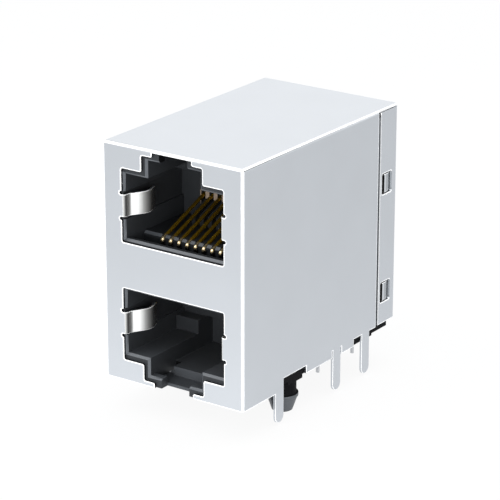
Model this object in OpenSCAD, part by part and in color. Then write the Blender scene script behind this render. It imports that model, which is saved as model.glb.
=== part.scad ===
// Stacked two-port modular board jack with a folded shield.
// X runs across the ports, Y from the front face to the rear, Z up from the board.
// The origin is on the board surface, midway across the front face.

/* [Body] */
// Width across the shield
body_w = 17; // [16.8:0.1:18]
// Height of the shield above the board
body_h = 25; // [25:0.1:26]
// Depth from the front face to the back of the rear cover
body_d = 27.8; // [27.8:0.1:29]
// Gap between pieces that fit together
fit = 0.05; // [0.03:0.01:0.07]

/* [Shield] */
// Thickness of the shield sheet
sheet = 0.25; // [0.2:0.01:0.28]
// Outside radius of the folds
fold_r = 0.4; // [0.35:0.01:0.6]
// Room between the housing's rear end and the rear cover
rear_room = 0.35; // [0.33:0.01:0.5]
// Depth of the rear cover's flanges
flange_d = 3.3; // [3:0.1:3.4]
// Height of the rear cover's lower edge above the board
cover_z = 1.35; // [1.3:0.05:1.6]
// Height of the side walls' lower edge behind the front tail
skirt_z = 0.45; // [0.4:0.05:0.6]
// Height of the notches in the side walls' lower edge
notch_z = 1.27; // [1.2:0.01:1.3]
// Rear end of the notch behind the front tail
notch_y = 11.1; // [10.5:0.1:12]
// Length of the notch that runs to the rear
rear_notch_d = 7.85; // [7.35:0.05:8.8]
// Corner radius of the port openings
cut_r = 0.2; // [0.1:0.05:0.25]

/* [Solder tails] */
// Width of a shield tail
tail_w = 1.45; // [1.2:0.05:1.6]
// Reach of the shield tails below the board surface
tail_len = 3.25; // [3:0.05:3.4]
// Distance of the front tails from the front face
tail_front_y = 6.33; // [6:0.05:7]
// Distance of the middle tails from the back of the rear cover
tail_mid_d = 11.07; // [10.37:0.05:11.77]
// Distance of the rear tails from the back of the rear cover
tail_rear_d = 5.6; // [5.3:0.05:6.3]
// Width of the slits beside the middle tails
slit_w = 0.16; // [0.12:0.01:0.25]

/* [Latch windows] */
// Height of the lower latch's middle above the board
latch_low_z = 4.86; // [4:0.1:6]
// Height of the upper latch's middle above the board
latch_high_z = 16.85; // [16:0.1:18]
// Height of a window in the flange
window_h = 2.25; // [2:0.05:2.4]
// Depth of a window from front to rear
window_d = 1.85; // [1.7:0.05:1.9]
// Distance from the flange's front edge to the window
window_edge = 0.4; // [0.3:0.05:0.5]
// Gap above and below the latch tab
latch_gap = 0.14; // [0.1:0.01:0.2]
// Play in front of the latch tab's free edge
latch_play = 0.4; // [0.3:0.05:0.5]
// Length of the ramp on the latch tab
latch_ramp = 0.75; // [0.6:0.05:0.8]
// Corner radius of a window
window_r = 0.2; // [0.1:0.05:0.3]

/* [Ports] */
// Height of the upper port's contact-side edge above the board
upper_port_z = 14.8; // [14.6:0.1:15]
// Height of the lower port's contact-side edge above the board
lower_port_z = 9.95; // [9.8:0.05:10.1]
// Width of the bay that takes the plug
bay_w = 12; // [11.9:0.02:12.1]
// Depth of the bay from the front face
bay_d = 10.1; // [9.8:0.1:10.4]
// Height of the sill in front of the contacts above the port's edge
sill_h = 0.32; // [0.28:0.01:0.36]
// Height of the plug shoulders above the port's edge
shoulder_h = 7.05; // [6.85:0.05:7.15]
// Depth of the stops at the plug shoulders
stop_d = 1.5; // [1:0.1:2]
// Height of the stops at the plug shoulders
stop_h = 1.5; // [1.2:0.05:1.6]
// Width of the latch channel
channel_w = 6.4; // [6.3:0.1:6.6]
// Height of the latch channel above the port's edge
channel_h = 8.67; // [8.5:0.01:8.75]
// Distance of the channel's rear end from the front face
channel_d = 11.1; // [10.8:0.1:11.4]
// Width of the gap between the catch lips
lip_gap = 3.4; // [3.2:0.1:3.6]
// Thickness of the catch lips from front to rear
lip_t = 1; // [0.8:0.1:1.2]
// Height of the catch lips' inner edge above the port's edge
lip_h = 8.9; // [8.8:0.01:9]
// Distance of the catch pocket's rear end from the front face
catch_d = 3.3; // [3:0.1:3.6]
// Height of the catch pocket above the port's edge
catch_h = 9.6; // [9.5:0.01:9.65]
// Width of the floor block behind the catch pocket
catch_block_w = 4.9; // [4.5:0.1:5.2]
// Length of the reliefs beside the floor block
relief_l = 1.4; // [1:0.1:2]
// Height of the opening's first step above the port's edge
step_h = 9.42; // [9.3:0.01:9.5]
// Width of the opening's second step
step_w = 4.76; // [4.4:0.02:5]
// Bevel round the port mouth
mouth_bevel = 0.22; // [0.15:0.01:0.25]
// Width of the housing's rim beside the bay
rim_w = 0.2; // [0.15:0.01:0.25]
// Height of the housing's rim at the plug shoulders
rim_h = 0.65; // [0.5:0.05:0.75]
// Width of the housing's rim beside the latch channel
latch_rim_w = 0.5; // [0.4:0.05:0.6]

/* [Ground fingers] */
// Height of a finger's lower slit above the port's edge
finger_low = 2.45; // [2.3:0.05:2.6]
// Height of a finger's upper slit above the port's edge
finger_high = 5.13; // [5:0.01:5.25]
// Radius of the relief at each slit's end
slit_r = 0.18; // [0.15:0.01:0.22]
// Distance of the slit ends from the middle of the port
slit_x = 6.27; // [6.24:0.01:6.4]
// Distance of the finger's root from the middle of the port
finger_x = 5.9; // [5.88:0.01:5.92]
// Distance of the finger's first bend from the front face
finger_bend_y = 0.75; // [0.7:0.05:0.9]
// Radius of the finger's first bend
finger_bend_r = 0.4; // [0.3:0.05:0.6]
// Distance of the finger's inner bend from the middle of the port
bump_x = 4.78; // [4.68:0.02:4.88]
// Distance of the finger's tip from the middle of the port
tip_x = 5.28; // [5.1:0.02:5.36]
// Distance of the finger's inner bend from the front face
bump_y = 2.6; // [2.4:0.05:2.8]
// Distance of the finger's tip from the front face
finger_end = 4.15; // [3.9:0.05:4.4]
// Bend radius of the finger's contact bump
bump_r = 1.5; // [1:0.1:1.6]
// Depth of the side-wall recess behind a finger
recess_t = 0.24; // [0.2:0.02:0.4]

/* [Contacts] */
// Contacts in each port
contact_n = 8; // [6:2:8]
// Spacing of the contact springs
pitch = 1.016; // [0.98:0.004:1.02]
// Spacing of the contact tails across the board
tail_pitch = 1.27; // [1.2:0.01:1.3]
// Width of a contact
contact_w = 0.38; // [0.32:0.01:0.42]
// Thickness of a contact
contact_t = 0.28; // [0.22:0.01:0.3]
// Bend radius of a contact along its middle
bend_r = 0.3; // [0.25:0.01:0.34]
// Length of the fan where the contacts spread to the tail spacing
fan_l = 1.4; // [1.2:0.1:1.6]
// Distance from the fan's rear end to the lower port's first tail row
fan_gap = 2.36; // [2.2:0.02:2.8]
// Distance of the springs' free end from the front face
spring_end = 10.8; // [10.6:0.1:11]
// Distance of the contacts' front bend from the front face
spring_y = 3.15; // [3.1:0.05:3.4]
// Height of the front bend's corner below the port's edge
spring_drop = 0.05; // [0:0.01:0.1]
// Height of the springs' free end above the port's edge
spring_rise = 2.95; // [2.8:0.05:3]
// Depth of the contact run inside the insert below the port's edge
run_drop = 0.85; // [0.8:0.01:0.9]
// Length of a contact tail below the board surface
pin_len = 3.15; // [2.9:0.05:3.2]
// Distance of the lower port's first tail row from the back of the rear cover
lower_row_d = 11.04; // [10.8:0.02:11.5]
// Distance of the upper port's first tail row from the back of the rear cover
upper_row_d = 4.4; // [4.2:0.02:4.5]
// Distance between a port's two tail rows
row_step = 2.54; // [2.3:0.02:2.6]

/* [Inserts] */
// Thickness of an insert's tray
tray_t = 1.7; // [1.6:0.05:1.8]
// Height of the tray's top above the port's edge
tray_h = 0.3; // [0.26:0.01:0.34]
// Gap between the housing's front lip and the tray
trough = 2.3; // [2.1:0.05:2.3]
// Thickness of the housing's front lip below a port
sill_t = 0.7; // [0.6:0.05:0.8]
// Bevel on the tray's front edge
tray_bevel = 0.25; // [0.15:0.01:0.3]
// Distance of the comb ribs' front edge from the front face
rib_y = 7.7; // [7.2:0.1:8.2]
// Thickness of the comb tower behind the bay
tower_t = 1.8; // [1.6:0.1:2]
// Distance of the ribs' top below the middle of the springs
rib_drop = 0.32; // [0.2:0.02:0.4]
// Height of the slots in the comb tower above the port's edge
slot_h = 3.5; // [3.4:0.05:3.8]
// Depth of the slots in the comb tower
slot_d = 1.2; // [1.15:0.05:1.3]
// Wall beside the outermost comb slot
comb_wall = 0.13; // [0.1:0.01:0.2]
// Height of the comb tower above the port's edge
tower_h = 4.6; // [4.4:0.05:4.8]
// Wall between a tail row and the insert leg's outer face
leg_wall = 0.95; // [0.8:0.05:1]
// Side clearance of a spring in its comb slot
slot_gap = 0.08; // [0.06:0.01:0.1]

/* [Housing] */
// Height of the housing's underside above the board
under_z = 0.4; // [0.35:0.05:0.5]
// Thickness of the pin organiser
organiser_t = 0.6; // [0.5:0.05:0.7]
// Width of a standoff beside a peg
standoff_w = 3.6; // [3.4:0.1:3.8]
// Length of a standoff from front to rear
standoff_l = 2.6; // [2.4:0.1:3]
// Distance of the standoffs from the front face
standoff_y = 8.25; // [8:0.05:8.4]
// Wall round the catch pocket where it meets the board
foot_wall = 0.35; // [0.3:0.05:0.5]
// Side of the small standoffs on the pin organiser
pad_w = 1.2; // [1:0.1:1.4]

/* [Pegs] */
// Distance between the two pegs
peg_pitch = 12.7; // [12.4:0.02:12.8]
// Distance of the pegs from the front face
peg_y = 9.92; // [9.6:0.02:10.2]
// Radius of a peg's shank
peg_r = 1.45; // [1.35:0.01:1.5]
// Radius of the boss at a peg's root
boss_r = 1.8; // [1.75:0.01:1.85]
// Radius of a peg's barb
barb_r = 1.66; // [1.6:0.01:1.75]
// Depth of the barb's ledge below the board surface
barb_z = 1.6; // [1.6:0.05:1.8]
// Reach of the pegs below the board surface
peg_len = 3.5; // [3.4:0.05:3.7]
// Height of the ring round a peg's barb
barb_h = 0.35; // [0.3:0.05:0.4]
// Radius of the cone below the ring
cone_r = 1.57; // [1.54:0.01:1.58]
// Radius of a peg's tip
peg_tip_r = 1.08; // [0.95:0.01:1.2]
// Width of the slot that splits a peg
peg_slot = 0.7; // [0.6:0.02:0.8]
// Depth below the board surface where the slot ends
slot_top = 0.5; // [0.4:0.05:0.8]

/* [Hidden] */

$fn = 48;
// Overlap that joins two solids
eps = 0.01;
// A length that reaches past the whole part
far = 60;

tin = "#d4d7dc";
plastic = "#232427";
gold = "#c9962e";

ports = ["upper", "lower"];
half_w = body_w / 2;
inner_w = half_w - sheet;
// Bend radius of a fold along the middle of the sheet
bend = fold_r - sheet / 2;

// The rear cover's flanges lie flush with the side walls, which step in behind them
joggle = sheet + fit;
seam_y = body_d - flange_d;
joggle_y = seam_y - fit - joggle;
margin_x = half_w - joggle - sheet / 2;
margin_end = body_d - sheet - joggle;
margin_top = body_h - sheet - 2 * joggle;
latch_front = seam_y + window_edge + latch_play;
latch_root = seam_y + window_edge + window_d;
latch_x = inner_w + sheet / 2 - fit / 2;
rear_notch_y = body_d - rear_notch_d;
tail_mid_y = body_d - tail_mid_d;
tail_rows = [tail_front_y, tail_mid_y, body_d - tail_rear_d];

// The housing fills the skin with a small gap all round
skin_x = inner_w - fit;
core_x = skin_x - joggle;
core_step_y = joggle_y - joggle;
core_y = body_d - sheet - rear_room;
housing_top = body_h - sheet - fit;
housing_y = sheet + fit;

half_bay = bay_w / 2;
half_channel = channel_w / 2;
mouth_x = half_bay + rim_w;
mouth_h = shoulder_h + rim_h;
step_x = half_channel + latch_rim_w;

finger_bottom = finger_low + slit_r;
finger_top = finger_high - slit_r;

// Inserts slide in from the rear
insert_x = half_bay - fit;
tray_y = housing_y + sill_t + trough;
tray_low = tray_h - tray_t;
slot_w = contact_w + 2 * slot_gap;
comb_x = (contact_n - 1) / 2 * pitch + slot_w / 2 + comb_wall;
lower_row_y = body_d - lower_row_d;
upper_row_y = body_d - upper_row_d;
leg_front = [upper_row_y - leg_wall, lower_row_y - leg_wall];
leg_rear = [upper_row_y + row_step + leg_wall, lower_row_y + row_step + leg_wall];
leg_bottom = under_z + organiser_t + fit;

// Path of a spring from its free end to the front bend
spring_slope = (spring_rise + spring_drop) / (spring_end - spring_y);
fan_end = lower_row_y - fan_gap;
fan_y = fan_end - fan_l;

// Unit vector along v
function unit(v) = v / norm(v);

// Points along the arc of radius r that rounds the corner a, b, c
function corner(a, b, c, r, n = 6) = r == 0 ? [b] : let (
    u = unit(a - b),
    v = unit(c - b),
    half = acos(u * v) / 2,
    centre = b + unit(u + v) * r / sin(half),
    p = b + u * r / tan(half) - centre,
    q = b + v * r / tan(half) - centre,
    start = atan2(p.y, p.x),
    turn = (atan2(q.y, q.x) - start + 540) % 360 - 180
) [for (i = [0 : n]) centre + r * [cos(start + turn * i / n), sin(start + turn * i / n)]];

// Path through the vertices [x, y, r], each rounded by its radius r
function rounded(v) = let (p = [for (q = v) [q.x, q.y]], last = len(v) - 1) [
    p[0],
    for (i = [1 : last - 1]) each corner(p[i - 1], p[i], p[i + 1], v[i].z),
    p[last]
];

// Offset of a path's point i that keeps both of its neighbours at distance 1
function mitre(path, i) = let (
    last = len(path) - 2,
    a = unit(path[min(max(i - 1, 0), last) + 1] - path[min(max(i - 1, 0), last)]),
    b = unit(path[min(i, last) + 1] - path[min(i, last)])
) [-a.y - b.y, a.x + b.x] / (1 + a * b);

// Strip of thickness t with its middle along the path
module strip(path, t) {
    last = len(path) - 1;
    polygon(concat(
        [for (i = [0 : last]) path[i] + t / 2 * mitre(path, i)],
        [for (i = [last : -1 : 0]) path[i] - t / 2 * mitre(path, i)]
    ));
}

// Extrudes a profile in Y and Z along X, centred on x
module across(w, x = 0) {
    translate([x - w / 2, 0, 0]) rotate([90, 0, 90]) linear_extrude(w) children();
}

// Extrudes a profile in X and Z along Y
module deep(y0, y1) {
    translate([0, y1, 0]) rotate([90, 0, 0]) linear_extrude(y1 - y0) children();
}

// Block centred on X between the given depths and heights
module block(w, y0, y1, z0, z1) {
    translate([-w / 2, y0, z0]) cube([w, y1 - y0, z1 - z0]);
}

// Places what it is given at both sides of the middle
module both_sides() {
    for (side = [0, 1]) mirror([side, 0, 0]) children();
}

// Frame of a port: its height runs from the contact side towards the latch
module in_port(port) {
    if (port == "upper") translate([0, 0, upper_port_z]) children();
    if (port == "lower") translate([0, 0, lower_port_z]) mirror([0, 0, 1]) children();
}

// Outline centred on X, from 0 to h, with both corners at the far end rounded
module capped(w, h, r) {
    translate([-w / 2, 0]) square([w, h - r]);
    translate([r - w / 2, h - 2 * r]) square([w - 2 * r, 2 * r]);
    for (x = [r - w / 2, w / 2 - r]) translate([x, h - r]) circle(r);
}

// Block that lies inside the skin's outer faces by inset, with the folds rounded
module folded_block(inset, y1, z0) {
    r = max(fold_r - inset, eps);
    w = body_w - 2 * inset;
    top = body_h - inset;
    intersection() {
        deep(inset, y1) translate([0, z0]) capped(w, top - z0, r);
        across(w) translate([inset + far / 2, z0]) capped(far, top - z0, r);
        translate([0, y1, z0]) mirror([0, 1, 0]) linear_extrude(top - z0) capped(w, y1 - inset, r);
    }
}

// ---------------------------------------------------------------- front shield

// Side walls and plates as one folded sheet, without their openings
module skin() {
    difference() {
        folded_block(0, body_d, 0);
        folded_block(sheet, body_d + far, -far);
        block(far, joggle_y, far, -far, body_h - sheet);
    }
}

// Opening of a port in the front plate, with the slits that free the ground fingers
module port_window(port) {
    reach = port == "upper" ? housing_top - upper_port_z : lower_port_z + fold_r;
    edge = rounded([
        [-eps, 0, 0], [mouth_x, 0, cut_r], [mouth_x, mouth_h, cut_r], [step_x, mouth_h, cut_r],
        [step_x, step_h, cut_r], [step_w / 2, step_h, cut_r], [step_w / 2, reach, 0], [-eps, reach, 0]
    ]);
    in_port(port) deep(-fold_r, fold_r) {
        polygon(edge);
        mirror([1, 0]) polygon(edge);
        for (x = [-slit_x, slit_x], h = [finger_low, finger_high]) {
            translate([x, h]) circle(slit_r);
            translate([min(x, 0), h - slit_r]) square([abs(x), 2 * slit_r]);
        }
    }
}

// Finger folded back from the front plate into the port
module ground_finger(port) {
    path = rounded([
        [slit_x + slit_r, sheet / 2],
        [finger_x, sheet / 2, sheet],
        [finger_x, finger_bend_y, finger_bend_r],
        [bump_x, bump_y, bump_r],
        [tip_x, finger_end]
    ]);
    in_port(port) translate([0, 0, finger_bottom])
        linear_extrude(finger_top - finger_bottom) strip(path, sheet);
}

// What the lower edge of the side walls leaves open, apart from the tails
module edge_notches() {
    difference() {
        union() {
            translate([tail_front_y, -far]) square([notch_y - tail_front_y, far + notch_z]);
            translate([notch_y - eps, -far]) square([far, far + skirt_z]);
            translate([rear_notch_y, -far]) square([far, far + notch_z]);
            translate([tail_mid_y - tail_w / 2 - slit_w, -far])
                square([tail_w + 2 * slit_w, far + notch_z]);
        }
        for (y = tail_rows) translate([y - tail_w / 2, -far]) square([tail_w, 2 * far]);
    }
}

// Solder tail with a round end
module tail(y) {
    translate([y, tail_w / 2 - tail_len]) circle(tail_w / 2);
    translate([y - tail_w / 2, tail_w / 2 - tail_len]) square([tail_w, tail_len]);
}

// Margin behind a flange, stepped in by one sheet, with its openings
module margin() {
    path = rounded([
        [half_w - sheet / 2, joggle_y - joggle],
        [half_w - sheet / 2, joggle_y, bend],
        [margin_x, joggle_y + joggle, bend],
        [margin_x, margin_end]
    ]);
    difference() {
        translate([0, 0, notch_z]) linear_extrude(margin_top - notch_z) strip(path, sheet);
        for (z = [latch_low_z, latch_high_z])
            block(far, latch_front - latch_gap, latch_root, z - window_h / 2, z + window_h / 2);
    }
}

// Tab lanced from the margin that snaps into a window of the flange
module latch_tab(z) {
    path = rounded([
        [margin_x, latch_root + sheet / 2],
        [margin_x, latch_root - sheet / 4, bend],
        [latch_x, latch_root - latch_ramp, bend],
        [latch_x, latch_front]
    ]);
    tab_h = window_h - 2 * latch_gap;
    translate([0, 0, z - tab_h / 2]) linear_extrude(tab_h) strip(path, sheet);
}

module front_shield() {
    color(tin) {
        difference() {
            skin();
            for (port = ports) port_window(port);
            across(far) edge_notches();
        }
        both_sides() {
            for (port = ports) ground_finger(port);
            for (y = tail_rows) across(sheet, half_w - sheet / 2) tail(y);
            margin();
            for (z = [latch_low_z, latch_high_z]) latch_tab(z);
        }
    }
}

// ------------------------------------------------------------------ rear cover

module rear_cover() {
    cover_h = housing_top - cover_z;
    color(tin) difference() {
        translate([0, seam_y, cover_z]) linear_extrude(cover_h) difference() {
            capped(body_w, body_d - seam_y, fold_r);
            translate([0, -far]) capped(2 * inner_w, far + body_d - seam_y - sheet, fold_r - sheet);
        }
        for (z = [latch_low_z, latch_high_z])
            across(far) translate([seam_y + window_edge, z - window_h / 2]) window();
    }
}

// Window with rounded corners
module window() {
    r = window_r;
    translate([r, 0]) square([window_d - 2 * r, window_h]);
    translate([0, r]) square([window_d, window_h - 2 * r]);
    for (y = [r, window_d - r], z = [r, window_h - r]) translate([y, z]) circle(r);
}

// --------------------------------------------------------------------- housing

// Bevelled mouth from low to high, with its lower edge bevelled by low_bevel
module mouth(half, low, high, low_bevel) {
    y0 = housing_y;
    y1 = housing_y + mouth_bevel;
    wide = half + mouth_bevel;
    foot = low - low_bevel;
    top = high + mouth_bevel;
    intersection() {
        translate([0, 0, foot]) linear_extrude(top - foot)
            polygon([[-wide, y0], [wide, y0], [half, y1], [-half, y1]]);
        across(far) polygon([[y0, foot], [y0, top], [y1, high], [y1, low]]);
    }
}

// Space for the plug body, its shoulders and the ground fingers
module bay() {
    shoulder_y = bay_d - stop_d;
    front = housing_y - far;
    block(bay_w, front, shoulder_y, sill_h, shoulder_h);
    block(bay_w, shoulder_y - eps, bay_d, sill_h, shoulder_h - stop_h);
    block(bay_w + 2 * recess_t, front, bay_d, finger_low - slit_r, finger_high + fit);
    mouth(half_bay, sill_h, shoulder_h, mouth_bevel);
}

// Space for the plug's latch, with the catch lips at its front
module latch_channel() {
    lip_end = housing_y + lip_t;
    front = housing_y - far;
    low = shoulder_h - stop_h - eps;
    block(channel_w, front, channel_d, low, channel_h);
    block(channel_w, front, lip_end, low, lip_h);
    block(lip_gap, front, lip_end, low, lower_port_z + far);
    block(channel_w, lip_end - eps, catch_d, low, catch_h);
    difference() {
        block(channel_w, catch_d - eps, catch_d + relief_l, low, catch_h);
        block(catch_block_w, catch_d - 2 * eps, catch_d + relief_l, channel_h, catch_h + eps);
    }
    mouth(half_channel, low, lip_h, 0);
}

// Room for an insert: its tray, its comb tower and its leg
module insert_room(port) {
    leg = port == "upper" ? leg_front[0] : leg_front[1];
    in_port(port) {
        block(bay_w, housing_y + sill_t, bay_d, tray_low - fit, sill_h + eps);
        block(bay_w, bay_d - eps, core_y + far, tray_low - fit, tray_h + fit);
        block(2 * (comb_x + fit), bay_d - eps, bay_d + tower_t + 2 * fit, 0, tower_h + fit);
    }
    port_z = port == "upper" ? upper_port_z + tray_h : lower_port_z - tray_low;
    block(bay_w, leg - fit, core_y + far, -far, port_z + fit);
}

// Board peg with a boss at its root and a barb
module peg() {
    rotate_extrude() polygon([
        [0, under_z], [boss_r, under_z], [boss_r, 0], [peg_r, 0],
        [peg_r, fit - barb_z], [barb_r, -barb_z],
        [barb_r, -barb_z - barb_h], [cone_r, -barb_z - barb_h - fit],
        [peg_tip_r, fit - peg_len], [peg_tip_r - 2 * fit, -peg_len], [0, -peg_len]
    ]);
}

module housing() {
    foot_w = channel_w + 2 * foot_wall;
    color(plastic) difference() {
        union() {
            intersection() {
                folded_block(sheet + fit, core_y, under_z);
                union() {
                    block(far, 0, core_step_y, 0, far);
                    block(2 * core_x, 0, core_y, 0, far);
                }
            }
            block(foot_w, housing_y, catch_d + foot_wall, 0, under_z + eps);
            both_sides() {
                translate([skin_x - standoff_w, standoff_y, 0])
                    cube([standoff_w, standoff_l, under_z + eps]);
                translate([peg_pitch / 2, peg_y, 0]) peg();
            }
        }
        for (port = ports) {
            in_port(port) {
                bay();
                latch_channel();
            }
            insert_room(port);
        }
        both_sides() translate([peg_pitch / 2, 0, 0])
            block(peg_slot, peg_y - far / 2, peg_y + far / 2, -far, -slot_top);
    }
}

// --------------------------------------------------------------------- inserts

// Ribs between the springs and the tower that takes their ends, for one port
module comb() {
    rib_w = pitch - slot_w;
    rib_top = tray_h - rib_drop;
    // Height of the ribs' top at a distance from the front face
    low = spring_slope * (rib_y - spring_y) - spring_drop - rib_drop;
    high = spring_slope * (bay_d + eps - spring_y) - spring_drop - rib_drop;
    for (i = [1 : contact_n - 1])
        across(rib_w, (i - contact_n / 2) * pitch)
            polygon([[rib_y, rib_top], [rib_y, low], [bay_d + eps, high], [bay_d + eps, rib_top]]);
    difference() {
        block(2 * comb_x, bay_d, bay_d + tower_t, tray_h - eps, tower_h);
        for (i = [0 : contact_n - 1])
            translate([(i - (contact_n - 1) / 2) * pitch, 0, 0])
                block(slot_w, bay_d - eps, bay_d + slot_d, tray_h - 2 * eps, slot_h);
    }
}

module insert(port) {
    k = port == "upper" ? 0 : 1;
    port_z = port == "upper" ? upper_port_z : lower_port_z;
    // The tray's faces towards the board and away from it
    tray_top = port == "upper" ? port_z + tray_h : port_z - tray_low;
    color(plastic) difference() {
        union() {
            in_port(port) {
                across(2 * insert_x) polygon([
                    [tray_y, tray_low], [leg_rear[k], tray_low], [leg_rear[k], tray_h],
                    [tray_y + tray_bevel, tray_h], [tray_y, tray_h - tray_bevel]
                ]);
                comb();
            }
            block(2 * insert_x, leg_front[k], leg_rear[k], leg_bottom, tray_top);
        }
        for (i = [0 : contact_n - 1]) contact(port, i, fit);
    }
}

module upper_insert() {
    insert("upper");
}

module lower_insert() {
    insert("lower");
}

// --------------------------------------------------------------- pin organiser

module pin_organiser() {
    color(plastic) difference() {
        union() {
            block(2 * insert_x, leg_front[1], leg_rear[0], under_z, under_z + organiser_t);
            both_sides() translate([insert_x - pad_w, leg_rear[1], 0])
                cube([pad_w, pad_w, under_z + eps]);
        }
        for (port = ports, i = [0 : contact_n - 1]) contact(port, i, fit);
    }
}

// -------------------------------------------------------------------- contacts

// Contact i of a port, grown on all sides for the slots that take it
module contact(port, i, grow) {
    middle = i - (contact_n - 1) / 2;
    row_y = (port == "upper" ? upper_row_y : lower_row_y) + (i % 2) * row_step;
    tail_h = port == "upper" ? -upper_port_z - pin_len : lower_port_z + pin_len;
    w = contact_w + 2 * grow;
    t = contact_t + 2 * grow;
    run_h = -run_drop;
    in_port(port) {
        across(w, middle * pitch) strip(rounded([
            [spring_end, spring_rise],
            [spring_y, -spring_drop, bend_r],
            [spring_y, run_h, bend_r],
            [fan_y, run_h]
        ]), t);
        translate([0, 0, run_h - t / 2]) linear_extrude(t) strip([
            [middle * pitch, fan_y - contact_w],
            [middle * pitch, fan_y],
            [middle * tail_pitch, fan_end],
            [middle * tail_pitch, fan_end + contact_w]
        ], w);
        across(w, middle * tail_pitch) strip(rounded([
            [fan_end, run_h],
            [row_y, run_h, bend_r],
            [row_y, tail_h]
        ]), t);
    }
}

front_shield();
rear_cover();
housing();
upper_insert();
lower_insert();
pin_organiser();
for (port = ports, i = [1 : contact_n])
    color(gold) contact(port, i - 1, 0);
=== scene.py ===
# %% [markdown]
# # A stacked board jack, dressed for its portrait
#
# The part is a connector for a circuit board: two plug ports in one folded metal shield, with black
# mouldings and sixteen sprung wires inside. The solids come packed from the CAD model. Blender adds
# what the eye reads first: rolled sheet edges, tin plate, moulded plastic and gold on the wires.
#
# Lengths below are written in millimetres and multiplied by MM, because Blender works in metres.

import math

import bmesh
import bpy
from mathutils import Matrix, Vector


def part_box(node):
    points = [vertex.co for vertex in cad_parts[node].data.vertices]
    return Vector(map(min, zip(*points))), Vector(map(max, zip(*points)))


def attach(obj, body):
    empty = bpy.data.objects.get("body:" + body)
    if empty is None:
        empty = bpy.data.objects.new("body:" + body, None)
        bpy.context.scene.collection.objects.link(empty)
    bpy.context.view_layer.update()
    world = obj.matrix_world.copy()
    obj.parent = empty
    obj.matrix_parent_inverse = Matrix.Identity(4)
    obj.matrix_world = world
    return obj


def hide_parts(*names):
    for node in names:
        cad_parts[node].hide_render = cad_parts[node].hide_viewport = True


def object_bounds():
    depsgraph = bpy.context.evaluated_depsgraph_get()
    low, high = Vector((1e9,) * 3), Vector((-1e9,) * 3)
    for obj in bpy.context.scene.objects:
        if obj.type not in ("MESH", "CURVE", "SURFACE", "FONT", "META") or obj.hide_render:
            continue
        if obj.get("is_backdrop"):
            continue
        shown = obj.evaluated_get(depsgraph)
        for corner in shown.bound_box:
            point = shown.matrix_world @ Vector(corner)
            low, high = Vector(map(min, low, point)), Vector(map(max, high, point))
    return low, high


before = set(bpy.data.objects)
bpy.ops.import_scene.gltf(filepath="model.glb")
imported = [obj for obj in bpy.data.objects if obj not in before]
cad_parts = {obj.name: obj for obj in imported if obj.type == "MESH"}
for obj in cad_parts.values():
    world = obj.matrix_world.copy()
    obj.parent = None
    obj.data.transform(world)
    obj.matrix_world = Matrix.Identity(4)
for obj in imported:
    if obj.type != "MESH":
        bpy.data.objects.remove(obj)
MM = 0.001
cad_box = [list(corner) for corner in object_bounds()]
low, high = (Vector(corner) for corner in cad_box)


def in_mm(point):
    """A point in millimetres, rounded for printing."""
    return [round(value / MM, 2) for value in point]


print("nodes:", len(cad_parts), "box in mm:", in_mm(low), in_mm(high))

# %% [markdown]
# ## Camera
#
# A long lens from far away keeps the edges nearly parallel, as in a catalogue picture. The camera
# is placed by its angles: azimuth 0 looks along +Y, and the elevation is counted from the floor. It
# is built from an aim point, a distance and the two angles, so that each can be changed by itself.

# %% Place the camera
AIM = Vector((3.38, 8.45, 13.45)) * MM
DISTANCE = 250 * MM
AZIMUTH = math.radians(35.136)
ELEVATION = math.radians(19.667)

towards_camera = Vector((
    math.sin(AZIMUTH) * math.cos(ELEVATION),
    -math.cos(AZIMUTH) * math.cos(ELEVATION),
    math.sin(ELEVATION),
))
camera_data = bpy.data.cameras.new("camera")
camera_data.lens = 180.2
camera_data.sensor_width = 36
camera_data.clip_start = 1 * MM
camera_data.clip_end = 5
camera = bpy.data.objects.new("camera", camera_data)
camera.location = AIM + towards_camera * DISTANCE
camera.rotation_euler = (-towards_camera).to_track_quat("-Z", "Y").to_euler()
bpy.context.scene.collection.objects.link(camera)
bpy.context.scene.camera = camera
print("camera at mm:", in_mm(camera.location))

# %% [markdown]
# ## Node maths in plain Python
#
# A node graph for a formula such as (a - b) * 3 takes three nodes and a lot of linking. The small
# class below wraps one output socket, so that the formula can be typed as it is and the Math nodes
# are added behind it. Any other node comes from Graph.node, which sets the node's options first and
# its inputs next. Shaders and Geometry Nodes share both, because their trees work in the same way.


# %% A socket that can be added and multiplied
class Value:
    def __init__(self, graph, socket):
        self.graph = graph
        self.socket = socket

    def math(self, operation, other=0.0):
        return self.graph.node("ShaderNodeMath", {"operation": operation}, {0: self, 1: other})

    def __add__(self, other):
        return self.math("ADD", other)

    def __mul__(self, other):
        return self.math("MULTIPLY", other)

    def __sub__(self, other):
        return self.math("SUBTRACT", other)

    def __rsub__(self, other):
        return self.math("MULTIPLY", -1.0) + other

    __radd__ = __add__

    def clamp(self):
        return self.math("MINIMUM", 1.0).math("MAXIMUM", 0.0)

    def step_up(self, start, end):
        """0 below start, 1 above end and a straight ramp between them."""
        return ((self - start) * (1.0 / (end - start))).clamp()


print("Value can:", ", ".join(name for name in vars(Value) if not name.startswith("_")))


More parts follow.
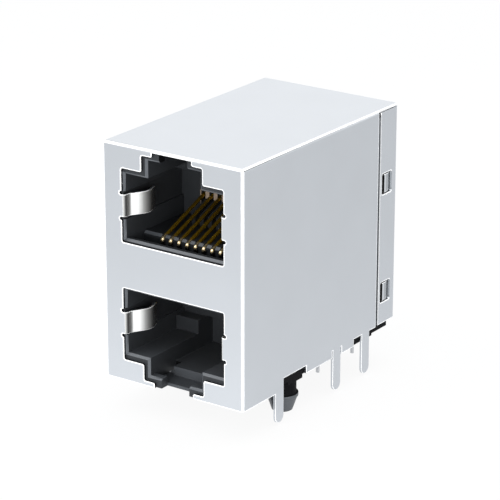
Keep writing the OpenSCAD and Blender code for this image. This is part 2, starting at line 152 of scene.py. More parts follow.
# %% A tree whose nodes are added by one method
class Graph:
    def __init__(self, tree):
        self.tree = tree
        self.tree.nodes.clear()

    def node(self, kind, settings=None, inputs=None, output=0):
        made = self.tree.nodes.new(kind)
        for key, value in (settings or {}).items():
            if key == "stops":
                self.set_stops(made.color_ramp, value)
            else:
                setattr(made, key, value)
        for key, value in (inputs or {}).items():
            if isinstance(value, Value):
                self.tree.links.new(value.socket, made.inputs[key])
            else:
                made.inputs[key].default_value = value
        return Value(self, made.outputs[output]) if len(made.outputs) else made

    @staticmethod
    def set_stops(ramp, stops):
        while len(ramp.elements) < len(stops):
            ramp.elements.new(0.5)
        for element, (position, colour) in zip(ramp.elements, stops):
            element.position = position
            element.color = colour

    def split(self, vector):
        return [self.node("ShaderNodeSeparateXYZ", {}, {0: vector}, axis) for axis in "XYZ"]

    def mix_colour(self, fac, low, high):
        inputs = {0: fac, 6: low, 7: high}
        return self.node("ShaderNodeMix", {"data_type": "RGBA"}, inputs, 2)


print("Graph can:", ", ".join(name for name in vars(Graph) if not name.startswith("_")))


# %% A material that is written as a function
class Finish(Graph):
    def __init__(self, name):
        self.material = bpy.data.materials.new(name)
        self.material.use_nodes = True
        super().__init__(self.material.node_tree)

    def place(self):
        """The point on the piece in millimetres, as a vector and as its three parts."""
        coords = self.node("ShaderNodeTexCoord", output="Object")
        inputs = {0: coords, "Scale": 1 / MM}
        scaled = self.node("ShaderNodeVectorMath", {"operation": "SCALE"}, inputs)
        return scaled, self.split(scaled)

    def noise(self, point, scale, detail=2.0, roughness=0.5):
        inputs = {"Vector": point, "Scale": scale, "Detail": detail, "Roughness": roughness}
        return self.node("ShaderNodeTexNoise", {}, inputs, "Fac")

    def bump(self, height, distance):
        inputs = {"Height": height, "Distance": distance * MM, "Strength": 0.5}
        return self.node("ShaderNodeBump", {}, inputs)

    def surface(self, **sockets):
        """Ends the material in one Principled surface with the given sockets."""
        inputs = {key.replace("_", " "): value for key, value in sockets.items()}
        shader = self.node("ShaderNodeBsdfPrincipled", {}, inputs)
        self.node("ShaderNodeOutputMaterial", {}, {"Surface": shader})
        return self.material


print("Finish can:", ", ".join(name for name in vars(Finish) if not name.startswith("_")))

# %% [markdown]
# ## Floor, sky and lamps
#
# Metal shows what stands round it, so the studio matters as much as the paint. The sky is white for
# the camera and for reflections. The floor is white for the camera too, but in reflections it is
# brightest just before the front and darker behind, so that the two upright faces part from each
# other and each fades from its foot to its top. A low lamp at the right side draws the lines on
# folds and springs, over the highlights painted on them.


# %% Light that only the camera and mirrors see
def seen_directly(graph):
    """1 for the camera, mirrors and glass, and 0 for light that falls on dull surfaces."""
    rays = [graph.node("ShaderNodeLightPath", output=ray)
            for ray in ("Is Camera Ray", "Is Glossy Ray", "Is Transmission Ray")]
    return (rays[0] + rays[1] + rays[2]).clamp()


print("light rule ready")


# %% Pale floor
FLOOR_GAP = 0.02 * MM
FLOOR_SIZE = 3.0
FLOOR_SHINE = 0.92
GLOW_REACH = 100.0
GLOW_TINT = (0.985, 1.0, 1.015)
# Millimetres behind the front face, and the brightness of the floor there.
GLOW_LEVELS = [(-95, 0.70), (-50, 0.80), (-12, 0.98), (0, 0.99), (16, 0.75), (85, 0.65)]


def floor_material():
    finish = Finish("floor")
    point, (x, y, z) = finish.place()
    behind = x * math.sin(AZIMUTH) + y * math.cos(AZIMUTH)
    stops = [((distance / GLOW_REACH + 1) / 2, (*(level * part for part in GLOW_TINT), 1))
             for distance, level in GLOW_LEVELS]
    share = (behind * (1 / GLOW_REACH) + 1) * 0.5
    glow = finish.node("ShaderNodeValToRGB", {"stops": stops}, {0: share})
    camera_ray = finish.node("ShaderNodeLightPath", output="Is Camera Ray")
    colour = finish.mix_colour(camera_ray, glow, (1, 1, 1, 1))
    white = finish.node("ShaderNodeEmission", {}, {"Color": colour, "Strength": 1.0})
    dull = finish.node("ShaderNodeBsdfDiffuse", {}, {"Color": (0.9, 0.9, 0.9, 1)})
    shine = seen_directly(finish) * FLOOR_SHINE
    surface = finish.node("ShaderNodeMixShader", {}, {0: shine, 1: dull, 2: white})
    finish.node("ShaderNodeOutputMaterial", {}, {"Surface": surface})
    return finish.material


floor_mesh = bpy.data.meshes.new("floor")
half = FLOOR_SIZE / 2
floor_z = low.z - FLOOR_GAP
corners = [(x * half, y * half, floor_z) for x, y in ((-1, -1), (1, -1), (1, 1), (-1, 1))]
floor_mesh.from_pydata(corners, [], [(0, 1, 2, 3)])
floor_mesh.materials.append(floor_material())
floor = bpy.data.objects.new("floor", floor_mesh)
bpy.context.scene.collection.objects.link(floor)
floor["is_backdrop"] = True
print("floor at mm:", round(floor_z / MM, 2))

# %% White sky
world = bpy.data.worlds.new("studio")
bpy.context.scene.world = world
world.use_nodes = True
sky = Graph(world.node_tree)
glossy_ray = sky.node("ShaderNodeLightPath", output="Is Glossy Ray")
shade = sky.mix_colour(glossy_ray, (1, 1, 1, 1), (0.97, 0.975, 0.98, 1))
shown = sky.node("ShaderNodeBackground", {}, {"Color": shade, "Strength": 1.0})
lighting = sky.node("ShaderNodeBackground", {}, {"Color": (0.94, 0.97, 1, 1), "Strength": 0.8})
both = sky.node("ShaderNodeMixShader", {}, {0: seen_directly(sky), 1: lighting, 2: shown})
sky.node("ShaderNodeOutputWorld", {}, {"Surface": both})
bpy.context.scene.view_settings.view_transform = "Standard"
print("sky ready")


# %% Lamps
def soft_lamp(name, place, size, watts, mirrored=True):
    lamp_data = bpy.data.lights.new(name, "AREA")
    lamp_data.shape = "RECTANGLE"
    lamp_data.size, lamp_data.size_y = (side * MM for side in size)
    lamp_data.energy = watts
    lamp = bpy.data.objects.new(name, lamp_data)
    lamp.visible_glossy = mirrored
    lamp.location = Vector(place) * MM
    lamp.rotation_euler = (lamp.location - AIM).to_track_quat("Z", "Y").to_euler()
    bpy.context.scene.collection.objects.link(lamp)


soft_lamp("key", (-180, -160, 260), (200, 200), 0.35)
soft_lamp("top", (40, 60, 320), (260, 260), 0.3)
soft_lamp("right", (230, -75, 45), (170, 120), 0.2)
soft_lamp("front", (70, -240, 35), (180, 80), 0.45, mirrored=False)

# %% [markdown]
# ## Rolled edges
#
# A press leaves a small burnished round on each cut edge, and a mould leaves a tiny radius on each
# corner. Those rounds catch the light and draw the outline of a part. A CAD mesh has dead sharp
# corners made of loose triangles. So a copy is merged, its flat faces are joined again, and a Bevel
# modifier rounds the chosen edges. On the sheets, the bevel's own faces get a second material, a
# painted highlight in near-white.

# %% Merge the triangles of a CAD node
MERGE = 0.0005 * MM
FLAT = math.radians(0.5)
SHARP = math.radians(50)
SMOOTH = math.radians(35)
BEVEL_WEIGHT = "bevel_weight_edge"
BEVEL_SEGMENTS = 2


def middle_of(face):
    """The middle of a face in millimetres."""
    return face.calc_center_median() / MM


def clean_copy(node):
    """A bmesh of a CAD node with its triangles joined into flat faces."""
    work = bmesh.new()
    work.from_mesh(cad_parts[node].data)
    bmesh.ops.remove_doubles(work, verts=work.verts, dist=MERGE)
    bmesh.ops.dissolve_limit(work, angle_limit=FLAT, verts=work.verts, edges=work.edges)
    for face in work.faces:
        face.smooth = True
        face.material_index = 0
    work.edges.layers.float.new(BEVEL_WEIGHT)
    return work


print("cleaning ready")


# %% Make a piece with rounded edges
def bevelled_piece(node, work, edges, radius, materials, edge_slot):
    """Turns the bmesh into a piece that replaces the node, with the given edges rounded."""
    weight = work.edges.layers.float[BEVEL_WEIGHT]
    for edge in work.edges:
        edge.smooth = not edge.is_manifold or edge.calc_face_angle() < SMOOTH
    for edge in edges:
        edge[weight] = 1.0
        edge.smooth = True
    mesh = bpy.data.meshes.new(node + "_finished")
    work.to_mesh(mesh)
    work.free()
    for material in materials:
        mesh.materials.append(material)
    piece = bpy.data.objects.new(node + "_finished", mesh)
    bpy.context.scene.collection.objects.link(piece)
    bevel = piece.modifiers.new("round", "BEVEL")
    bevel.limit_method = "WEIGHT"
    bevel.width = radius * MM
    bevel.segments = BEVEL_SEGMENTS
    bevel.use_clamp_overlap = False
    bevel.material = edge_slot
    flatten = piece.modifiers.new("flatten", "WEIGHTED_NORMAL")
    flatten.keep_sharp = True
    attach(piece, "root")
    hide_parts(node)
    print(node, "faces:", len(mesh.polygons), "rounded edges:", len(edges))


print("rounding ready")


# %% [markdown]
# ## Tin plate
#
# The shield is thin steel with a satin tin plate. It is a metal, so its colour is the colour of
# what it reflects, dimmed a little. Its roughness wanders over a few millimetres, and a very fine
# grain in the bump breaks the reflection up. Folds and cut edges carry a painted highlight, a smooth
# near-white finish without grain, and the sheared sides of the sheet that get no light are painted
# nearly black as shade. A dark line of painted shadow runs along the seam between shield and cover,
# where the two sheets almost touch.

# %% Find the seam between the sheets
cover_low, cover_high = ([value / MM for value in corner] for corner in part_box("rear_cover"))
SEAM_Y = cover_low[1] - 0.03
SEAM_X = cover_high[0] - 0.4
SEAM_TOP = high.z / MM - 0.5
SEAM_WIDTH = 0.12
SEAM_DARK, SEAM_DARK_PER_MM = 0.45, 0.007
print("seam at mm:", round(SEAM_Y, 3))


# %% Tin plate material
COOL, NEUTRAL = (0.965, 1.0, 1.045), (1.0, 1.0, 1.0)
SEAM_SHADOW_COLOUR = (0.03, 0.032, 0.036, 1)


def seam_shadow(x, y, z):
    """How dark the painted seam shadow is. It is painted on the sides only, and it deepens with
    height.
    """
    beside = x.math("ABSOLUTE").step_up(SEAM_X - 0.1, SEAM_X)
    beside = beside * (1.0 - z.step_up(SEAM_TOP - 0.1, SEAM_TOP))
    from_seam = (y - SEAM_Y).math("ABSOLUTE")
    near = 1.0 - from_seam.step_up(SEAM_WIDTH * 0.5, SEAM_WIDTH)
    return near * beside * (SEAM_DARK + z * SEAM_DARK_PER_MM)


def tin_plate(name, shade, roughness, tint=COOL, grain_depth=0.004, metal=1.0):
    finish = Finish(name)
    point, (x, y, z) = finish.place()
    clouds = finish.noise(point, 0.22, 3.0)
    bright = [min(shade * part, 1.0) for part in tint]
    dim = [value * 0.96 for value in bright]
    colour = finish.mix_colour(clouds, (*dim, 1), (*bright, 1))
    # Painted shadow along the seam between shield and cover.
    colour = finish.mix_colour(seam_shadow(x, y, z), colour, SEAM_SHADOW_COLOUR)
    rough = roughness + (clouds - 0.5) * 0.05
    sockets = {"Base_Color": colour, "Metallic": metal, "Roughness": rough}
    if grain_depth:
        grain = finish.noise(point, 9.0, 3.0, 0.7)
        sockets["Roughness"] = rough + (grain - 0.5) * 0.06
        sockets["Normal"] = finish.bump(grain, grain_depth)
    return finish.surface(**sockets)


print("tin plate ready")

# %% [markdown]
# ## Springs in the sheet
#
# Each port has two leaf springs that touch the plug, and each side has latch tabs that hold the
# cover. A bent strip of metal mirrors a different part of the studio at each point of its bend, so
# its shade changes in bands. Mirrors of a white room come out too even for that. So the bands are
# painted as a ramp of shades that runs back from the front edge of the spring.

# %% Shades along the springs
# Millimetres behind the front edge, and the brightness there.
LEAF_LEVELS = [
    (0, 0.8), (0.06, 0.4), (0.16, 0.1), (0.24, 0.03), (0.38, 0.14), (0.6, 0.2), (0.82, 0.3),
    (0.95, 1), (1.5, 1), (2.0, 0.45), (2.4, 0.25), (2.8, 0.14), (3.1, 0.08), (3.4, 0.05), (4.1, 0.03)]
TAB_LEVELS = [
    (0, 0.08), (0.08, 0.08), (0.12, 1), (0.24, 1), (0.34, 0.82), (0.5, 0.6), (0.65, 0.56),
    (0.72, 0.72), (1.3, 0.9), (1.42, 0.5)]
LEAF_REACH, TAB_REACH = 5.0, 1.5
LEAF_TINT, TAB_TINT = (1.0, 1.0, 0.98), (0.93, 0.965, 1.0)
TAB_FRONT, TAB_REAR = 25.3, 26.75


def shaded_spring(name, front, reach, levels, tint, metal, roughness):
    """A bent spring whose shade changes with its depth behind its front edge."""
    finish = Finish(name)
    point, (x, y, z) = finish.place()
    stops = [(depth / reach, (*(level * part for part in tint), 1)) for depth, level in levels]
    share = (y - front) * (1 / reach)
    colour = finish.node("ShaderNodeValToRGB", {"stops": stops}, {0: share})
    return finish.surface(Base_Color=colour, Metallic=metal, Roughness=roughness)


# The second finish is a near-white painted highlight for folds and cut edges, the third is painted
# shade for sides that get no light, and the springs get painted bands of shade.
sheet_finishes = [
    tin_plate("tin_plate", 0.815, 0.36),
    tin_plate("sheet_painted_highlight", 1.0, 0.3, NEUTRAL, grain_depth=0, metal=0.15),
    tin_plate("sheet_painted_shade", 0.03, 0.5, NEUTRAL, grain_depth=0.003),
    shaded_spring("leaf_spring", 0.0, LEAF_REACH, LEAF_LEVELS, LEAF_TINT, 0.3, 0.24),
    shaded_spring("latch_tab", TAB_FRONT, TAB_REACH, TAB_LEVELS, TAB_TINT, 1.0, 0.36),
]
print("sheet finishes:", [material.name for material in sheet_finishes])

# %% [markdown]
# ## Folded sheet
#
# The shield and its cover are folded from thin sheet, and only the outside of the sheet is worked
# on. It is found by walking from its largest face across every gentle fold. An edge between a
# reached face and one that isn't reached is a cut edge, and the face beyond it is the sheared side
# of the sheet. A narrow rim is set into the outside along its cut edges and given the same painted
# highlight as the folds, so that each cut edge draws a bright line. The springs keep their own
# painted shading, and what the cover hides and the sheared sides in shade are painted dark.


# %% Walk over the outside of a sheet
def walk(work, direction, behind=-1.0):
    """The faces reached from the largest face that looks outwards in a direction, far enough back."""
    direction = Vector(direction)
    facing = []
    for face in work.faces:
        middle = face.calc_center_median()
        outwards = face.normal.dot(direction) > 0.99 and middle.dot(direction) > -MERGE
        if outwards and middle.y > behind * MM:
            facing.append(face)
    start = max(facing, key=lambda face: face.calc_area())
    reached, waiting = {start}, [start]
    while waiting:
        for edge in waiting.pop().edges:
            if edge.is_manifold and edge.calc_face_angle() < SMOOTH:
                fresh = [face for face in edge.link_faces if face not in reached]
                reached.update(fresh)
                waiting.extend(fresh)
    return reached


print("walk ready")

# %% Tell the places on a sheet apart
LEAF_X = 6.4
TAIL_TOP = -0.1
FRONT_DEPTH = 0.3
SHEET_SIDE = 8.2
RIM = 0.1
COVER_TOP = cover_high[2]
HEM = COVER_TOP - RIM
WINDOW_FOOT = cover_low[2] + 1
FOLD_MIDDLE = math.cos(math.radians(22))


def on_leaf(place, normal):
    """True on the outside of a leaf spring, which bends back into a port."""
    return abs(place.x) < LEAF_X and 0.02 < place.y < LEAF_REACH and abs(normal.z) < 0.1


def on_tab(place):
    """True on the outside of a latch tab, which stands out beyond the side of the shield."""
    return abs(place.x) > SEAM_X + 0.12 and place.y > TAB_FRONT - 0.1


def window_rear(place):
    """True at the rear edge of a latch window in the cover, which has no bright line."""
    behind_tab = TAB_REAR - 0.01 < place.y < TAB_REAR + 0.4
    return abs(place.x) > SHEET_SIDE and behind_tab and 1 < place.z < 22


def under_cover(place):
    """True for the margin of the shield that the cover hides, but not for its latch tabs."""
    return place.y > SEAM_Y - 0.2 and place.z < COVER_TOP and not on_tab(place)


def in_shade(place, normal, shield):
    """True for a sheared side that gets no light: in a port, in the seam, over a cover's window."""
    if shield:
        in_port = place.y < FRONT_DEPTH and abs(normal.y) < 0.5
        return in_port or place.y > SEAM_Y and place.z < COVER_TOP
    return normal.z < -0.5 and place.z > WINDOW_FOOT


print("places ready")

# %% Mark the outside of a sheet
PLATE, SHEET_HIGHLIGHT, SHEET_SHADE, LEAF, TAB = range(len(sheet_finishes))


def sheet_outside(work, direction, shield):
    """The outside faces of a sheet, and those among them that the cover hides."""
    outside = walk(work, direction)
    if not shield:
        return outside, set()
    margins = walk(work, (1, 0, 0), SEAM_Y) | walk(work, (-1, 0, 0), SEAM_Y)
    outside |= {face for face in margins if middle_of(face).y > SEAM_Y}
    return outside, {face for face in outside if under_cover(middle_of(face))}


def mark_outside(faces, shield):
    """Gives the springs and the folds in the outside of a sheet their finishes."""
    for face in faces:
        if on_leaf(middle_of(face), face.normal):
            face.material_index = LEAF
        elif shield and on_tab(middle_of(face)):
            face.material_index = TAB
        # Folds get the near-white painted highlight.
        elif max(abs(part) for part in face.normal) < FOLD_MIDDLE:
            face.material_index = SHEET_HIGHLIGHT


def set_rim(work, faces, shield):
    """Insets a rim with a painted highlight along the cut edges, but not on solder tails, hem or rear
    window edges.
    """
    rim = bmesh.ops.inset_region(
        work, faces=faces, thickness=RIM * MM, use_boundary=True, use_even_offset=True)["faces"]
    for face in rim:
        place = middle_of(face)
        quiet = place.z < TAIL_TOP or window_rear(place) or not shield and place.z > HEM
        if face.material_index == PLATE and not quiet:
            face.material_index = SHEET_HIGHLIGHT
    return rim


print("marking ready")

# %% Finish a whole sheet
SHEET_ROUND = 0.05


def cut_edges(work, outside):
    """Each cut edge of a sheet, with the outside face and the sheared face that meet there."""
    for edge in work.edges:
        if len(edge.link_faces) == 2 and edge.calc_face_angle() >= SHARP:
            near, beyond = sorted(edge.link_faces, key=lambda face: face not in outside)
            if near in outside and beyond not in outside:
                yield edge, near, beyond


def finish_sheet(node, direction):
    """Gives a sheet a painted bright rim round its cut edges, rounds those edges, paints unlit and
    hidden sides dark as shade and sets its finishes.
    """
    shield = node == "front_shield"
    work = clean_copy(node)
    outside, hidden = sheet_outside(work, direction, shield)
    open_faces = [face for face in outside if face not in hidden]
    mark_outside(open_faces, shield)
    outside.update(set_rim(work, open_faces, shield))
    rounded = []
    for edge, near, beyond in cut_edges(work, outside):
        place = middle_of(beyond)
        # Sheared sides that get no light, and those beside what the cover hides, are painted dark as
        # shade.
        if near in hidden or in_shade(place, beyond.normal, shield):
            beyond.material_index = SHEET_SHADE
        if not shield and window_rear(place):
            beyond.material_index = TAB
        elif near not in hidden and not (on_tab(place) if shield else place.z > HEM):
            rounded.append(edge)
    # What the cover hides is painted dark as shade.
    for face in hidden:
        face.material_index = SHEET_SHADE
    bevelled_piece(node, work, rounded, SHEET_ROUND, sheet_finishes, SHEET_HIGHLIGHT)


finish_sheet("front_shield", (0, -1, 0))
finish_sheet("rear_cover", (0, 1, 0))

# %% [markdown]
# ## Black mouldings
#
# The housing and the inserts are black glass-filled plastic with a soft gloss and a fine
# spark-eroded skin. Black plastic is dark, and its form reads only from its highlights. So the
# bevels round the port mouths, the front edges of the trays and the cones of the pegs get a paler
# painted highlight, and the floors of the lower port, which face the light, get paler painted light.
# Feet, outer sides and walls in deep shade are painted nearly black. The comb behind the wires gets a
# painted tan glow in a band between their ends, where the gold throws light on it.

# %% Black plastic material
MIDDLE_Z = 12.4
GRAPHITE = (0.88, 0.95, 1.05)
FOOT_COLOUR = (0.004, 0.004, 0.005, 1)


def foot_shadow(x, z):
    """How dark the feet of the housing are, in the shade of the shield's lower edge."""
    foot = x.math("ABSOLUTE").step_up(7.4, 7.5) * (1.0 - z.step_up(1.8, 2.2))
    return foot * 0.95 * (z + 1.6).step_up(0.0, 0.1)


def comb_glow(x, z):
    """1 on the two bands of the combs that show between the wires, and 0 elsewhere."""
    behind_wires = 1.0 - x.math("ABSOLUTE").step_up(4.15, 4.2)
    from_middle = (z - MIDDLE_Z).math("ABSOLUTE")
    band = from_middle.step_up(3.9, 4.4) * (1.0 - from_middle.step_up(5.5, 5.7))
    return band * behind_wires


def black_moulding(name, shade, roughness, shine=0.5, glow=None):
    finish = Finish(name)
    point, (x, y, z) = finish.place()
    skin = finish.noise(point, 6.0, 4.0, 0.6)
    flow = finish.noise(point, 0.5, 2.0)
    dark = [shade * 0.9 * part for part in GRAPHITE]
    pale = [shade * 1.15 * part for part in GRAPHITE]
    colour = finish.mix_colour(flow, (*dark, 1), (*pale, 1))
    colour = finish.mix_colour(foot_shadow(x, z), colour, FOOT_COLOUR)
    if glow:
        colour = finish.mix_colour(comb_glow(x, z), colour, glow)
    return finish.surface(
        Base_Color=colour, Metallic=0.0, Roughness=roughness + (skin - 0.5) * 0.12,
        Normal=finish.bump(skin, 0.005), Specular_IOR_Level=shine)


housing_plastic = black_moulding("housing_plastic", 0.028, 0.45, shine=0.25)
insert_plastic = black_moulding("insert_plastic", 0.028, 0.45, shine=0.2)
# Painted light and shade on the mouldings: a paler painted highlight for bevels and cones, painted
# shade for sides and feet, a painted tan glow on the comb, and paler painted light on the floors.
black_finishes = [
    black_moulding("painted_moulding_highlight", 0.09, 0.4),
    black_moulding("painted_shade_underside", 0.005, 0.6, shine=0.08),
    black_moulding("lit_comb", 0.04, 0.5, shine=0.2, glow=(0.27, 0.21, 0.16, 1)),
    black_moulding("painted_light_floor", 0.062, 0.45, shine=0.25),
]
print("black finishes:", [material.name for material in black_finishes])

# %% Choose the finish of each face by its place
BODY, LIT_EDGE, SHADED_UNDERSIDE, COMB, LIT_FLOOR = range(1 + len(black_finishes))
MOUTH_FRONT, MOUTH_REAR = 0.3, 0.55
TRAY_FRONT, TRAY_REAR = 3.2, 3.7
STEP_Y, STEP_REAR, STEP_TOP = 4.7, 4.8, 2
COMB_Y = 10.1
SIDE_X = 7.5
CONE_TOP, BASE_TOP, MOUTH_WALL_TOP, FOOT_TOP = -1.75, 0.45, 1.3, 1.6
FLOOR_TOP, NOTCH_FOOT = 6, 23.2
SQUARE = 0.9


def in_deep_shade(x, depth, height, normal):
    """True on the housing's outer sides, the walls over the upper port and the step of the floor."""
    wall = abs(normal.x) > SQUARE and (abs(x) > SIDE_X or height > NOTCH_FOOT)
    step = abs(depth - STEP_Y) < 0.05 and height < STEP_TOP and abs(normal.y) > SQUARE
    return wall or step


def faces_light(depth, height, normal):
    """True on the floors of the lower port and on the low walls at its mouth."""
    mouth_wall = height < MOUTH_WALL_TOP and depth < STEP_REAR and normal.y < -SQUARE
    return height < FLOOR_TOP and normal.z > SQUARE or mouth_wall


def moulding_slot(face, housing):
    x, depth, height = middle_of(face)
    slanted = 0.3 < abs(face.normal.y) < SQUARE
    on_mouth = MOUTH_FRONT < depth < MOUTH_REAR
    on_tray = not housing and TRAY_FRONT < depth < TRAY_REAR
    # Bevels of mouths and trays and the cones of the pegs get the painted highlight.
    if height < CONE_TOP or slanted and (on_mouth or on_tray):
        return LIT_EDGE
    # Feet, low outer sides and the base get painted shade.
    if height < FOOT_TOP and abs(x) > SIDE_X or height < BASE_TOP and depth > STEP_REAR:
        return SHADED_UNDERSIDE
    if not housing:
        on_comb = abs(depth - COMB_Y) < 0.02 and face.normal.y < -SQUARE
        return COMB if on_comb else BODY
    # Walls in deep shade get painted shade.
    if in_deep_shade(x, depth, height, face.normal):
        return SHADED_UNDERSIDE
    # Floors and low mouth walls that face the light get paler painted light.
    return LIT_FLOOR if faces_light(depth, height, face.normal) else BODY


print("places on the mouldings ready")

# %% Finish the mouldings
EDGE_ROUND = 0.04
KEEP_SLOT = -1


def finish_moulding(node, plastic):
    """Sets the finish of each face of a moulding. Only the housing gets rounded edges."""
    housing = node == "housing"
    work = clean_copy(node)
    for face in work.faces:
        face.material_index = moulding_slot(face, housing)
    sharp = [e for e in work.edges if housing and e.is_manifold and e.calc_face_angle() > SHARP]
    bevelled_piece(node, work, sharp, EDGE_ROUND, [plastic, *black_finishes], KEEP_SLOT)


finish_moulding("housing", housing_plastic)
for moulding in ("upper_insert", "lower_insert", "pin_organiser"):
    finish_moulding(moulding, insert_plastic)

# %% [markdown]
# ## Gold-plated wires
#
# Each port has eight bent wires, and they differ only by rule: they stand one pitch apart at the
# plug, spread to a wider spacing on the way back, and every second one goes down one row further
# on. So one wire is drawn as a line, and Geometry Nodes repeats it, spreads it, and gives it a
# section with rounded corners. Three bends make the line: two at the tip under the plug, and one
# down into the board.

# %% Sizes of the wires
FAN_START, FAN_LENGTH = 13.0, 1.4
WIRE_SIZES = {
    "Count": 8, "Pitch": 1.016 * MM, "Tail pitch": 1.27 * MM, "Fan start": FAN_START * MM,
    "Fan length": FAN_LENGTH * MM, "Row step": 2.54 * MM, "Width": 0.38 * MM, "Thickness": 0.28 * MM,
    "Corner": 0.11 * MM, "Tip height": low.z,
}
BEND = 0.3
PIN_LENGTH = 3.15
# The height where the plug touches, the way from there to the comb, and the depth of the first row.
PORTS = {"upper": (14.8, 1, 23.4), "lower": (9.95, -1, 16.76)}
# Depths, and heights over the line where the plug touches.
COMB_END = (10.8, 2.95)
TIP_Y, TIP_TOP, RETURN_Z = 3.15, -0.05, -0.85
print("wire sizes in mm:", {key: in_mm([v])[0] for key, v in WIRE_SIZES.items() if key != "Count"})


# %% Draw one wire as a line
def bend_points(before, corner, after, count=6):
    """Points along the round that joins two straight runs at a corner."""
    a, b = (before - corner).normalized(), (after - corner).normalized()
    half_angle = a.angle(b) / 2
    reach = BEND / math.tan(half_angle)
    centre = corner + (a + b).normalized() * (BEND / math.sin(half_angle))
    start, end = corner + a * reach - centre, corner + b * reach - centre
    return [centre + start.slerp(end, i / count).normalized() * BEND for i in range(count + 1)]


def wire_line(port):
    """One wire as a mesh line in the plane X = 0, with the shorter of the two tails."""
    port_z, up, row = PORTS[port]
    tail = -up * (port_z + PIN_LENGTH)
    turns = [COMB_END, (TIP_Y, TIP_TOP), (TIP_Y, RETURN_Z), (row, RETURN_Z), (row, tail)]
    turns = [Vector((0, depth, height)) for depth, height in turns]
    fan = [Vector((0, FAN_START + FAN_LENGTH * i / 4, RETURN_Z)) for i in range(-1, 6)]
    points = [turns[0], *bend_points(*turns[0:3]), *bend_points(*turns[1:4])]
    points += [*fan, *bend_points(*turns[2:5])]
    points += [turns[4] + Vector((0, 0, 0.3 * up)), turns[4]]
    mesh = bpy.data.meshes.new(port + "_wire_line")
    places = [Vector((0, p.y, port_z + up * p.z)) * MM for p in points]
    mesh.from_pydata(places, [(i, i + 1) for i in range(len(places) - 1)], [])
    return mesh


wire_lines = {port: wire_line(port) for port in PORTS}
print("points in a wire line:", [len(mesh.vertices) for mesh in wire_lines.values()])

# %% Geometry Nodes that repeat and spread the wires
TAPER, TIP_SCALE = 0.25, 0.6


def tree_sockets(tree):
    """Adds the inputs and the output of the tree."""
    kinds = {name: "Int" if name == "Count" else "Float" for name in WIRE_SIZES}
    kinds = {"Line": "Geometry", **kinds, "Row start": "Float", "Finish": "Material"}
    for name, kind in kinds.items():
        tree.interface.new_socket(name, in_out="INPUT", socket_type="NodeSocket" + kind)
    tree.interface.new_socket("Wires", in_out="OUTPUT", socket_type="NodeSocketGeometry")


def repeat_line(graph, size):
    """The line repeated at the pitch, with its number stored on each copy."""
    curve = graph.node("GeometryNodeMeshToCurve", {}, {"Mesh": size["Line"]})
    first = (size["Count"] - 1) * size["Pitch"] * -0.5
    start = graph.node("ShaderNodeCombineXYZ", {}, {"X": first})
    step = graph.node("ShaderNodeCombineXYZ", {}, {"X": size["Pitch"]})
    places = graph.node("GeometryNodeMeshLine", {"mode": "OFFSET"}, {
        "Count": size["Count"], "Start Location": start, "Offset": step})
    copies = graph.node("GeometryNodeInstanceOnPoints", {}, {"Points": places, "Instance": curve})
    as_number = {"data_type": "INT", "domain": "INSTANCE"}
    copies = graph.node("GeometryNodeStoreNamedAttribute", as_number, {
        "Geometry": copies, "Name": "wire", "Value": graph.node("GeometryNodeInputIndex")})
    return graph.node("GeometryNodeRealizeInstances", {}, {"Geometry": copies})


def spread_lines(graph, size, wires, y):
    """The lines fanned out to the pitch of the tails, with every second tail one row behind."""
    number = graph.node("GeometryNodeInputNamedAttribute", {"data_type": "INT"}, {"Name": "wire"})
    along = (y - size["Fan start"]).math("DIVIDE", size["Fan length"]).clamp()
    spread = (number - (size["Count"] - 1) * 0.5) * (size["Tail pitch"] - size["Pitch"]) * along
    second_row = number.math("MODULO", 2.0) * y.math("GREATER_THAN", size["Row start"])
    shift = graph.node("ShaderNodeCombineXYZ", {}, {"X": spread, "Y": second_row * size["Row step"]})
    return graph.node("GeometryNodeSetPosition", {}, {"Geometry": wires, "Offset": shift})


print("repeat and spread ready")


# %% Geometry Nodes that give the wires their section
def wire_tree():
    tree = bpy.data.node_groups.new("sprung_wires", "GeometryNodeTree")
    tree_sockets(tree)
    graph = Graph(tree)
    entry = tree.nodes.new("NodeGroupInput")
    size = {socket.name: Value(graph, socket) for socket in entry.outputs if socket.name}
    wires = repeat_line(graph, size)
    x, y, z = graph.split(graph.node("GeometryNodeInputPosition"))
    wires = spread_lines(graph, size, wires, y)
    section = graph.node("GeometryNodeCurvePrimitiveQuadrilateral", {"mode": "RECTANGLE"}, {
        "Width": size["Width"], "Height": size["Thickness"]})
    section = graph.node("GeometryNodeFilletCurve", {"mode": "POLY"}, {
        "Curve": section, "Count": 3, "Radius": size["Corner"]})
    above_tip = (z - size["Tip height"]).math("DIVIDE", TAPER * MM).clamp()
    scale = above_tip * (1 - TIP_SCALE) + TIP_SCALE
    body = graph.node("GeometryNodeCurveToMesh", {}, {
        "Curve": wires, "Profile Curve": section, "Scale": scale, "Fill Caps": True})
    body = graph.node("GeometryNodeSetShadeSmooth", {}, {"Geometry": body})
    body = graph.node("GeometryNodeRealizeInstances", {}, {"Geometry": body})
    body = graph.node("GeometryNodeSetMaterial", {}, {"Geometry": body, "Material": size["Finish"]})
    graph.node("NodeGroupOutput", {}, {"Wires": body})
    return tree


wire_nodes = wire_tree()
print("wire nodes:", len(wire_nodes.nodes))

# %% [markdown]
# ## Finish of the wires
#
# The wires are gold over copper alloy. Gold looks pale where it mirrors a lamp and brown where it
# mirrors the dark port, so a ramp of colours runs back along each wire as a painted reflection:
# bright at the tip, deep gold along the spring, brown near the comb. The short drop below the tip
# is painted dark as shade, and the solder tails are tinned.

# %% Wire material
GOLD_REACH = 30
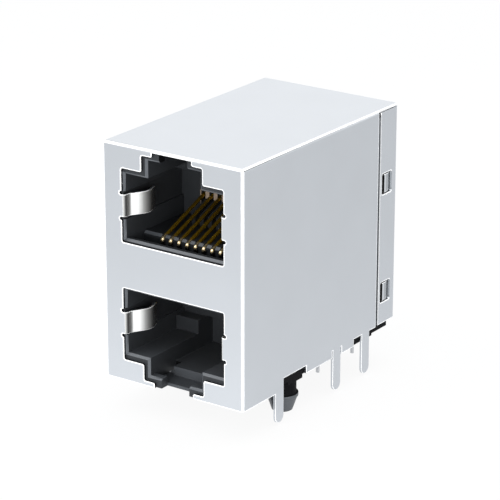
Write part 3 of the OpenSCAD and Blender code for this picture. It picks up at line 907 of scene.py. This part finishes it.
# Millimetres behind the front face, and the colour of the gold there, a painted reflection.
GOLD_REFLECTIONS = [
    (3.5, (1.0, 0.82, 0.5, 1)), (3.8, (0.64, 0.39, 0.02, 1)), (8, (0.52, 0.31, 0.018, 1)),
    (10.8, (0.3, 0.18, 0.012, 1)), (13, (0.8, 0.5, 0.12, 1))]
WORN, SHADED, TINNED = (0.3, 0.14, 0.01, 1), (0.03, 0.03, 0.032, 1), (0.72, 0.73, 0.75, 1)


def plated_wire():
    finish = Finish("plated_wire")
    point, (x, y, z) = finish.place()
    worn = finish.noise(point, 0.35, 1.0)
    stops = [(depth / GOLD_REACH, colour) for depth, colour in GOLD_REFLECTIONS]
    along = finish.node("ShaderNodeValToRGB", {"stops": stops}, {0: y * (1 / GOLD_REACH)})
    gold = finish.mix_colour(worn * 0.3, along, WORN)
    # Painted shade: the drop below the tip is darkened.
    drop = 1.0 - (z - MIDDLE_Z).math("ABSOLUTE").step_up(2.05, 2.2)
    gold = finish.mix_colour(drop * (1.0 - y.step_up(3.5, 3.6)), gold, SHADED)
    solder_end = (1.0 - z).step_up(0.6, 1.0)
    colour = finish.mix_colour(solder_end, gold, TINNED)
    rough = 0.26 + (worn - 0.5) * 0.04 + solder_end * 0.12
    return finish.surface(Base_Color=colour, Metallic=0.88, Roughness=rough)


wire_finish = plated_wire()
print("wire finish:", wire_finish.name)


# %% Make the wires of both ports
def make_wires(port):
    piece = bpy.data.objects.new(port + "_springs", wire_lines[port])
    bpy.context.scene.collection.objects.link(piece)
    modifier = piece.modifiers.new("wires", "NODES")
    modifier.node_group = wire_nodes
    row_start = (PORTS[port][2] - BEND - 0.05) * MM
    values = {**WIRE_SIZES, "Row start": row_start, "Finish": wire_finish}
    for socket in wire_nodes.interface.items_tree:
        if socket.in_out == "INPUT" and socket.name in values:
            modifier[socket.identifier] = values[socket.name]
    evaluated = piece.evaluated_get(bpy.context.evaluated_depsgraph_get())
    mesh = bpy.data.meshes.new_from_object(evaluated)
    piece.modifiers.remove(modifier)
    piece.data = mesh
    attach(piece, "root")
    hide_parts(*[f"{port}_contact_{number}" for number in range(1, WIRE_SIZES["Count"] + 1)])
    box = [[pick(v.co[axis] for v in mesh.vertices) for axis in range(3)] for pick in (min, max)]
    print(piece.name, "faces:", len(mesh.polygons), "box in mm:", *map(in_mm, box))


for port in PORTS:
    make_wires(port)

# %% Print the size of the dressed scene
dressed_box = [list(corner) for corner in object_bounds()]
print("dressed box in mm:", *map(in_mm, dressed_box))
